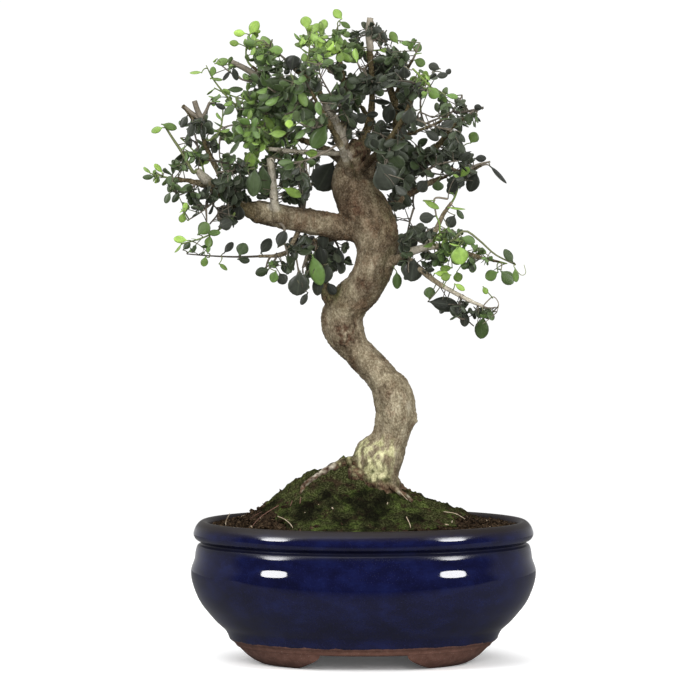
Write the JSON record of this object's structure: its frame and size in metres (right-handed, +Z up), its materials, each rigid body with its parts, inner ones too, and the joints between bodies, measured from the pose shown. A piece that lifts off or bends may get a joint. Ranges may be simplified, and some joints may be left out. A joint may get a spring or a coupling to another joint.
{
  "type": "olive bonsai",
  "caption": "Olive bonsai with a winding trunk and an airy crown of small oval leaves, on mossy soil in an oval dark blue glazed pot with clay feet.",
  "frame": {"origin": "under the middle of the whole part's box, on the surface that the pot's feet stand on", "axes": "+Z up, +X along the pot's long side, and the pot's front faces -Y"},
  "size_m": [0.2336, 0.1632, 0.3846],
  "materials": {
    "glazed_pot": "high gloss dark blue glaze, reddish brown unglazed clay at the feet",
    "netting": "matte",
    "soil": "coarse, dry",
    "moss": "soft, matte",
    "bark": "rough bark",
    "old_leaf": "leathery, slightly glossy",
    "young_leaf": "fresh, slightly glossy"
  },
  "bodies": {
    "root": {"drainage_mesh_left": "netting", "drainage_mesh_right": "netting", "moss": "moss", "pot": "glazed_pot", "soil": "soil", "spray_back_left_1": "old_leaf", "spray_back_left_2": "old_leaf", "spray_back_low_1": "old_leaf", "spray_back_low_2": "old_leaf", "spray_back_main_1": "old_leaf", "spray_back_main_2": "old_leaf", "spray_back_right_1": "old_leaf", "spray_back_right_2": "old_leaf", "spray_crown_left_1": "old_leaf", "spray_crown_left_2": "old_leaf", "spray_crown_left_3": "old_leaf", "spray_crown_mid_1": "old_leaf", "spray_crown_top_1": "old_leaf", "spray_crown_top_2": "old_leaf", "spray_crown_west_1": "old_leaf", "spray_crown_west_2": "old_leaf", "spray_front_right_1": "old_leaf", "spray_front_right_2": "old_leaf", "spray_front_right_3": "old_leaf", "spray_front_up_1": "old_leaf", "spray_front_up_2": "old_leaf", "spray_front_up_3": "old_leaf", "spray_left_fork_1": "old_leaf", "spray_left_fork_2": "old_leaf", "spray_left_rise_1": "old_leaf", "spray_left_rise_2": "old_leaf", "spray_left_rise_3": "old_leaf", "spray_left_under_1": "old_leaf", "spray_left_under_2": "old_leaf", "spray_left_under_3": "old_leaf", "spray_right_arm_1": "old_leaf", "spray_right_arm_2": "old_leaf", "spray_right_crest_1": "old_leaf", "spray_right_down_1": "old_leaf", "spray_right_down_2": "old_leaf", "spray_right_low_1": "old_leaf", "spray_right_outer_1": "old_leaf", "spray_right_thin_1": "old_leaf", "spray_right_thin_2": "old_leaf", "spray_right_up_1": "old_leaf", "spray_right_up_2": "old_leaf", "tree_wood": "bark", "young_shoot_crown_left_1": "young_leaf", "young_shoot_crown_mid_1": "young_leaf", "young_shoot_crown_west_1": "young_leaf", "young_shoot_crown_west_2": "young_leaf", "young_shoot_left_bar_1": "young_leaf", "young_shoot_left_fork_1": "young_leaf", "young_shoot_left_fork_2": "young_leaf", "young_shoot_left_fork_3": "young_leaf", "young_shoot_left_rise_1": "young_leaf", "young_shoot_right_crest_1": "young_leaf", "young_shoot_right_low_1": "young_leaf", "young_shoot_right_low_2": "young_leaf", "young_shoot_right_rise_1": "young_leaf"}
  },
  "joints": []
}
